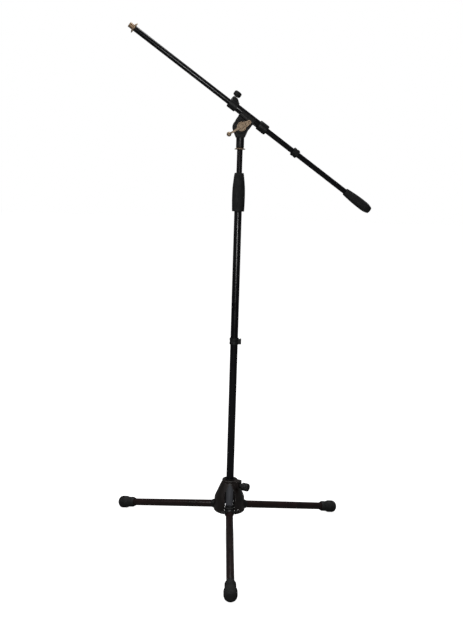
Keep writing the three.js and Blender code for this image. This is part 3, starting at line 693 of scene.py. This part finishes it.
def pole_grip():
    _, bottom, top = span("clutch_grip_rubber", POLE)
    length = top - bottom
    skin = []
    for step in range(201):
        share = step / 200
        swell = 16.2 + 0.9 * math.sin(math.pi * min(share / 0.75, 1))
        shoulder = 0 if share < 0.5 else 4.2 * ((share - 0.5) / 0.5) ** 2.2
        edge = 0.5 * max(0, 1 - step / 3) + 0.5 * max(0, 1 - (200 - step) / 3)
        skin.append((swell - shoulder - edge, bottom + share * length))
    inside = [
        (10.9, top), (10.9, top - 1), (12.7, GRIP_NECK_Z), (14.3, GRIP_SHOULDER_Z), (14.3, bottom),
    ]
    grain = diamonds(32, 4.2, 0.45, bottom + 4, top - 5, 11.6)
    grip = turned("clutch_grip_sleeve", skin + inside, POLE, 288, grain)
    return finish_piece(grip, "clutch_grip", "black_rubber", "clutch_grip_rubber", sharp_angle=50)


pole_grip()

core_r, core_low, core_top = span("clutch_grip_core", POLE)
core = [
    (12.9, core_low), (core_r, core_low), (core_r, GRIP_SHOULDER_Z), (12.4, GRIP_NECK_Z),
    (10.6, core_top), (8.1, core_top), (8.1, GRIP_SHOULDER_Z + 10.5), (10.5, GRIP_SHOULDER_Z + 10.5),
    (10.5, GRIP_SHOULDER_Z + 5.5), (12.9, GRIP_SHOULDER_Z + 3.5),
]
finish_piece(
    turned("clutch_grip_liner", rounded(core, 0.5), POLE), "clutch_grip", "black_plastic", "clutch_grip_core"
)

# ------------------------------------------------------------------ swivel head
FRICTION_GAP = 6.2  # half the fork's slot
CHEEK_R = 20.2
BOLT_R = 4.0
PIVOT = shifted(BOOM, z=-BOOM_OFFSET)


def dished_ring(node, body, place, bore, face):
    """A thin lock ring, its rim swept back and finely milled. Its face is at height face."""
    radius, _, _ = span(node, place)
    outline = [
        (bore, face), (9, face), (radius - 0.6, face - 1.8), (radius, face - 1.1),
        (radius - 0.4, face - 0.2), (9.5, face + 2.4), (bore, face + 2.6),
    ]

    def milled(angle, r, height):
        return -0.22 * (0.5 + 0.5 * math.cos(72 * angle)) if r > radius - 0.7 else 0

    ring = turned(f"{node}_nut", rounded(outline, 0.35), place, 432, milled)
    return finish_piece(ring, body, "nickel", node, sharp_angle=60)


ring_low = span("head_lock_ring", POLE)[1]
dished_ring("head_lock_ring", "head_ring", POLE, 5.05, ring_low + 1.8)

STUD_R = 4.75
_, stud_low, stud_top = span("upper_tube_stud", POLE)
tube_top = span("upper_tube", POLE)[2]
stud = [(0, stud_low), (5.9, stud_low), (5.9, tube_top + 0.3), (7.3, tube_top + 0.3), (7.3, tube_top + 1.3)]
stud += [(STUD_R, tube_top + 1.3), (STUD_R, stud_top), (0, stud_top)]
stud = turned(
    "upper_tube_stud_thread", finely(rounded(stud, 0.3), 0.35), POLE, 48,
    thread(1.25, 0.4, tube_top + 1.6, stud_top, 4.6),
)
finish_piece(stud, "upper_mast", "nickel", "upper_tube_stud", sharp_angle=70)


def fork():
    low, _ = extent("swivel_fork", HEAD)
    neck_r, neck_bottom, neck_top, half = 10.5, low[2], -27.3, 10.5
    neck = [(0, neck_bottom), (neck_r, neck_bottom), (neck_r, neck_top + 2), (0, neck_top + 2)]
    body = turned("swivel_fork_casting", rounded(neck, 1.2), HEAD, 96)
    cheeks = [(-neck_r, neck_top), (neck_r, neck_top), *arc((0, 0), CHEEK_R, -25, 205, 72)]
    fuse(body, plate("cheeks", cheeks, -half, half, HEAD @ FRONT))
    slot = box_piece("slot", (-40, 40), (-FRICTION_GAP, FRICTION_GAP), (-23.6, 40), HEAD)
    bolt_way = rod("bolt_way", BOLT_R + GAP, -20, 20, HEAD @ Z_TO_Y)
    pocket = rod("pocket", 7.8, 7.6, 20, HEAD @ Z_TO_Y, 6)
    stud_way = rod("stud_way", 5.05, neck_bottom - 1, -39, HEAD)
    # a shallow ring is turned into the outer face of each cheek
    faces = [
        turned("face", [(13.5, y), (18.2, y), (18.2, y + 0.7), (13.5, y + 0.7)], HEAD @ Z_TO_Y, 96)
        for y in (-half - 0.2, half - 0.5)
    ]
    carve(body, slot, bolt_way, pocket, stud_way, *faces)
    return finish_piece(cast(body, 0.42, 3), "upper_mast", "cast_black", "swivel_fork", sharp_angle=60)


fork()

for name in ("friction_washer_front", "friction_washer_rear", "lever_washer"):
    radius, start, end = span(name, HEAD @ Z_TO_Y)
    ring = rounded([(BOLT_R + GAP, start), (radius, start), (radius, end), (BOLT_R + GAP, end)], 0.25)
    slot_name = "steel" if name == "lever_washer" else "fibre"
    finish_piece(turned(f"{name}_ring", ring, HEAD @ Z_TO_Y, 96), "upper_mast", slot_name, name)

_, bolt_front, bolt_back = span("tilt_bolt", HEAD @ Z_TO_Y)
shank = [(0, bolt_front), (BOLT_R, bolt_front), (BOLT_R, 9), (0, 9)]
bolt = turned(
    "tilt_bolt_shank", finely(rounded(shank, 0.4), 0.3), HEAD @ Z_TO_Y, 48,
    thread(1.25, 0.5, bolt_front, -5, BOLT_R - 0.1),
)
hexagon = [(0, 7.9), (6.6, 7.9), (7.2, 8.5), (7.2, bolt_back - 1), (6.2, bolt_back), (0, bolt_back)]
fuse(bolt, turned("hexagon", hexagon, HEAD @ Z_TO_Y, 6))
finish_piece(bolt, "upper_mast", "steel", "tilt_bolt", sharp_angle=30)


def lever():
    rise = math.radians(-32)
    place = HEAD @ Matrix.Rotation(rise, 4, "Y")
    front, back, hub_r, ball_reach, lug_reach = -18.4, -12.2, 12.6, 40, 22
    hub_outline = [(0, back), (hub_r, back), (hub_r, front + 0.3), (hub_r - 1.6, front), (0, front)]
    body = turned("tilt_lever_casting", rounded(hub_outline, 0.9), place @ Z_TO_Y, 120)
    arm = [(-8, -3.4), (-8, 3.4), (-ball_reach, 2.1), (-ball_reach, -2.1)]
    lug = [(6, -9.5), (lug_reach, -5.4), (lug_reach, 5.4), (6, 9.5)]
    fuse(
        body,
        plate("arm", arm, -(front + 3.2), -(front - 1.4), place @ FRONT),
        plate("lug", lug, -(front + 4.8), -(front + 0.8), place @ FRONT),
        rod("boss", 6, front - 0.4, front + 5, shifted(place, x=lug_reach) @ Z_TO_Y),
        ball("ball", 6.3, (-ball_reach, front - 0.7, 0), place),
    )
    hollow = [
        turned("hollow", [(5, front - 1), (10.4, front - 1), (10.4, front + 1.6), (5, front + 1.6)],
               place @ Z_TO_Y, 96)
        for _ in range(2)
    ]
    for ring, side in zip(hollow, (-1, 1)):
        z = sorted((side * 2.6, side * 12))
        combine(ring, [box_piece("half", (-12, 12), (front - 2, front + 3), z, place)], "INTERSECT")
    bore = rod("bore", BOLT_R + GAP, front + 1.6, back + 1, place @ Z_TO_Y)
    dimple = rod("dimple", 2.6, front - 2, front + 1.2, shifted(place, x=lug_reach) @ Z_TO_Y)
    carve(body, bore, dimple, *hollow)
    return finish_piece(cast(body, 0.34, 4), "tilt_lever", "nickel", "tilt_lever", sharp_angle=60)


lever()


# ------------------------------------------------------------------ boom
def cradle():
    disc_r, web, half = CHEEK_R - 0.2, 21.6, 4.6
    side = [(disc_r, 0), (web, 9), (web, BOOM_OFFSET), (-web, BOOM_OFFSET), (-web, 9)]
    side += arc((0, 0), disc_r, 180, 360, 60)[:-1]
    body = plate("boom_cradle_casting", side, -half, half, PIVOT @ FRONT)
    saddle_low, saddle_r, saddle_top = CHEEK_R + 1, 12.4, 37
    saddle = [(-10.5, saddle_low), (10.5, saddle_low), (saddle_r, 27), (saddle_r, saddle_top),
              (-saddle_r, saddle_top), (-saddle_r, 27)]
    fuse(body, plate("saddle", rounded(saddle, 1.2), -web, web, PIVOT @ SIDE))
    sleeve_r = span("boom_sleeve", ROD)[0]
    bed = rod("bed", sleeve_r + GAP, -30, 30, ROD, 120)
    open_top = box_piece(
        "open_top", (-30, 30), (-sleeve_r - GAP, sleeve_r + GAP), (BOOM_OFFSET, 60), PIVOT
    )
    bolt_way = rod("bolt_way", BOLT_R + GAP, -20, 20, PIVOT @ Z_TO_Y)
    carve(body, bed, open_top, bolt_way)
    return finish_piece(cast(body, 0.42, 3), "boom_head", "cast_black", "boom_cradle", sharp_angle=60)


cradle()

SLEEVE_R, SLEEVE_FRONT, SLEEVE_REAR = span("boom_sleeve", ROD)
BOOM_R, BOOM_TIP, BOOM_TAIL = span("boom_tube", ROD)
KNOB_X = (extent("boom_lock_knob", BOOM)[0][0] + extent("boom_lock_knob", BOOM)[1][0]) / 2


def collar_outline(mouth, end, sleeve_end, outer):
    """A cap over the sleeve: mouth is its open end, end is where the boom tube leaves it."""
    way = math.copysign(1, end - mouth)
    seat, bore = sleeve_end + way * 0.3, BOOM_R + 0.6
    outline = [(SLEEVE_R + GAP, mouth), (outer, mouth), (outer, end - way * 1.8), (outer - 1.8, end)]
    return outline + [(bore, end), (bore, seat), (SLEEVE_R + GAP, seat)]


def front_collar():
    low, high = extent("front_collar", BOOM)
    mouth, end = high[0], low[0]
    cap = rounded(collar_outline(mouth, end, SLEEVE_FRONT, high[1]), 0.8)
    body = turned("front_collar_moulding", cap, ROD, 120)
    side = [(end, 5), (end, 17.5), (end + 2, 19.5), (end + 13, 19.5), (end + 22, 12.5), (end + 22, 5)]
    front = [(-7, 5), (7, 5), (7, 16), (5.4, 19.5), (-5.4, 19.5), (-7, 16)]
    boss = plate("boss", side, -7, 7, BOOM @ FRONT)
    combine(boss, [plate("narrow", front, end - 7, end + 33, BOOM @ SIDE)], "INTERSECT")
    fuse(body, boss)
    rod_way = rod("rod_way", BOOM_R + 0.6, end - 7, SLEEVE_FRONT, ROD, 120)
    sleeve_way = rod("sleeve_way", SLEEVE_R + GAP, SLEEVE_FRONT - 0.3, -30, ROD, 120)
    screw_way = rod("screw_way", PIN_R + GAP, 0, 40, shifted(BOOM, x=KNOB_X))
    carve(body, rod_way, sleeve_way, screw_way)
    return finish_piece(cast(body, 0.34, 3), "boom_head", "black_plastic", "front_collar", sharp_angle=60)


front_collar()

rear_r, rear_mouth, rear_end = span("rear_collar", ROD)
rear = rounded(collar_outline(rear_mouth, rear_end, SLEEVE_REAR, rear_r), 0.9, steps=4)
finish_piece(turned("rear_collar_cap", rear, ROD, 144), "boom_head", "black_plastic", "rear_collar")

KNOB = shifted(BOOM, x=KNOB_X)
stem_r, stem_low, stem_top = span("boom_lock_screw", KNOB)
shank = [(0, stem_low), (stem_r, stem_low), (stem_r, stem_top), (0, stem_top)]
stem = turned(
    "boom_lock_screw_thread", finely(rounded(shank, 0.4), 0.25), KNOB, 48,
    thread(1.0, 0.5, stem_low, stem_top, stem_r - 0.1),
)
finish_piece(stem, "boom_knob", "steel", "boom_lock_screw", sharp_angle=70)


def boom_knob():
    radius, bottom, top = span("boom_lock_knob", KNOB)
    cup = stem_top + 0.4
    outline = [
        (PIN_R + GAP, bottom), (7.5, bottom), (radius, bottom + 2.4), (radius, top - 3),
        (radius - 1.9, top - 0.6), (0, top), (0, cup), (PIN_R + GAP, cup),
    ]
    outline = finely(rounded(outline, 1.2), 0.5)
    knob = turned("boom_lock_knob_grip", outline, KNOB, 216, fluted(18, 0.6, bottom + 1.6, top - 1))
    return finish_piece(knob, "boom_knob", "black_plastic", "boom_lock_knob", sharp_angle=55)


boom_knob()

clip_x = sum(span("boom_cable_clip", ROD)[1:]) / 2
BOOM_CLIP = shifted(BOOM, x=clip_x) @ Z_TO_X @ Matrix.Rotation(-math.pi / 2, 4, "Z")
cable_clip("boom_cable_clip", "boom_rod", BOOM_CLIP, BOOM_R + GAP, 11.8)

TIP = shifted(BOOM, x=BOOM_TIP) @ Matrix.Rotation(-math.pi / 2, 4, "Y")


def tip_stud():
    radius, inner_end, end = span("boom_tip_stud", TIP)
    shank = BOOM_R - 1.5
    outline = [
        (0, inner_end), (shank, inner_end), (shank, 0.3), (radius, 0.3), (radius, end - 0.9),
        (radius - 0.9, end), (4.2, end), (4.2, end - 8), (0, end - 8),
    ]
    cut = thread(1.27, 0.62, 0.8, end, radius - 0.15)
    stud_piece = turned("boom_tip_stud_thread", finely(rounded(outline, 0.2), 0.16), TIP, 96, cut)
    return finish_piece(stud_piece, "boom_rod", "nickel", "boom_tip_stud", sharp_angle=75)


tip_stud()
dished_ring("boom_tip_ring", "tip_ring", TIP, span("boom_tip_stud", TIP)[0] + 0.35, 2.2)


def weight_grip():
    _, start, end = span("counterweight_grip", ROD)
    end -= 1
    nose_start, rows = end - 24, 172
    skin = []
    for step in range(rows + 1):
        x = start + step / rows * (end - start)
        swell = 10.2 + 3.2 * math.sin(math.pi / 2 * min((x - start) / 52, 1))
        nose = 0 if x < nose_start else 4.4 * ((x - nose_start) / (end - nose_start)) ** 2.4
        skin.append((swell - nose - 0.6 * max(0, 1 - step / 3), x))
    bore, slug_r, slug_end = BOOM_R + GAP, 8.7, end - 7.7
    tail = [
        (8.4, end + 0.3), (7, end + 0.7), (4, end + 0.95), (0, end + 1), (0, slug_end),
        (slug_r, slug_end), (slug_r, BOOM_TAIL - 2), (bore, BOOM_TAIL - 2), (bore, start),
    ]
    grain = diamonds(26, 4.2, 0.45, start + 4, end - 4, 9.5)
    grip = turned("counterweight_sleeve", skin + tail, ROD, 260, grain)
    return finish_piece(grip, "boom_rod", "black_rubber", "counterweight_grip", sharp_angle=50)


weight_grip()

# ------------------------------------------------------------------ floor, light and camera
FLOOR_SIZE = 60
FLOOR_Z = -0.0004
FLOOR_GLOW = 0.92  # how much it shines, to the camera only
FLOOR_DIM = 0.22  # its colour to every other ray


def floor():
    """A pale floor that looks white to the camera but throws little light back at the object."""
    material, tree, shader = principled("pale_floor")
    speck = remap(tree, texture_noise(tree, 30, 6), 0.3, 0.7, 0, 1)
    tree.links.new(mixed(tree, speck, (0.86, 0.86, 0.86), (0.90, 0.90, 0.90)), shader.inputs["Base Color"])
    shader.inputs["Roughness"].default_value = 0.9
    shader.inputs["Emission Color"].default_value = (1, 1, 1, 1)
    shader.inputs["Emission Strength"].default_value = FLOOR_GLOW
    dim = add_node(tree, "ShaderNodeBsdfDiffuse", Color=(FLOOR_DIM, FLOOR_DIM, FLOOR_DIM, 1))
    seen = tree.nodes.new("ShaderNodeLightPath").outputs["Is Camera Ray"]
    either = tree.nodes.new("ShaderNodeMixShader")
    tree.links.new(seen, either.inputs["Fac"])
    tree.links.new(dim.outputs["BSDF"], either.inputs[1])
    tree.links.new(shader.outputs["BSDF"], either.inputs[2])
    tree.links.new(either.outputs["Shader"], tree.nodes["Material Output"].inputs["Surface"])
    half = FLOOR_SIZE / 2
    mesh = bpy.data.meshes.new("floor")
    corners = [(x, y, FLOOR_Z) for x, y in ((-half, -half), (half, -half), (half, half), (-half, half))]
    mesh.from_pydata(corners, [], [(0, 1, 2, 3)])
    mesh.materials.append(material)
    made = bpy.data.objects.new("floor", mesh)
    bpy.context.scene.collection.objects.link(made)


floor()

STUDIO_DIM = 0.10  # how bright the room is to the object; the camera sees it white


def studio():
    world = bpy.data.worlds.new("studio")
    bpy.context.scene.world = world
    world.use_nodes = True
    tree = world.node_tree
    seen = tree.nodes.new("ShaderNodeLightPath").outputs["Is Camera Ray"]
    strength = remap(tree, seen, 0, 1, STUDIO_DIM, 1)
    tree.nodes["Background"].inputs["Color"].default_value = (1, 1, 1, 1)
    tree.links.new(strength, tree.nodes["Background"].inputs["Strength"])


studio()


def softbox(name, place, target, size, power):
    lamp = bpy.data.lights.new(name, "AREA")
    lamp.shape = "RECTANGLE"
    lamp.size, lamp.size_y = size
    lamp.energy = power
    made = bpy.data.objects.new(name, lamp)
    bpy.context.scene.collection.objects.link(made)
    made.location = place
    made.visible_camera = False
    made.rotation_mode = "QUATERNION"
    made.rotation_quaternion = (Vector(target) - Vector(place)).to_track_quat("-Z", "Y")


softbox("front", (-0.03, -2.2, 1.0), (0, 0, 0.9), (0.55, 0.45), 10)
softbox("top", (0.1, 0.5, 3.6), (0, 0, 0.4), (1.6, 1.6), 40)
softbox("left", (-2.4, -1.2, 2.2), (0, 0, 0.5), (0.5, 0.5), 10)

CAMERA_BACK = 2.0805  # from the pole's axis, along -Y
CAMERA_HEIGHT = 0.919
CAMERA_YAW = math.radians(-0.392)
CAMERA_PITCH = math.radians(3.888)
CAMERA_ROLL = math.radians(1.702)

camera = bpy.data.objects.new("camera", bpy.data.cameras.new("camera"))
bpy.context.scene.collection.objects.link(camera)
camera.data.sensor_width = 36
camera.data.lens = 45.20
camera.data.shift_y = -0.10
ahead = Vector((
    math.sin(CAMERA_YAW) * math.cos(CAMERA_PITCH), math.cos(CAMERA_YAW) * math.cos(CAMERA_PITCH),
    -math.sin(CAMERA_PITCH),
))
level = Vector((math.cos(CAMERA_YAW), -math.sin(CAMERA_YAW), 0))
above = level.cross(ahead)
right = level * math.cos(CAMERA_ROLL) + above * math.sin(CAMERA_ROLL)
camera.matrix_world = Matrix((right, right.cross(ahead), -ahead)).transposed().to_4x4()
camera.location = POLE.translation + Vector((0, -CAMERA_BACK, CAMERA_HEIGHT))
bpy.context.scene.camera = camera
bpy.context.scene.view_settings.view_transform = "Standard"
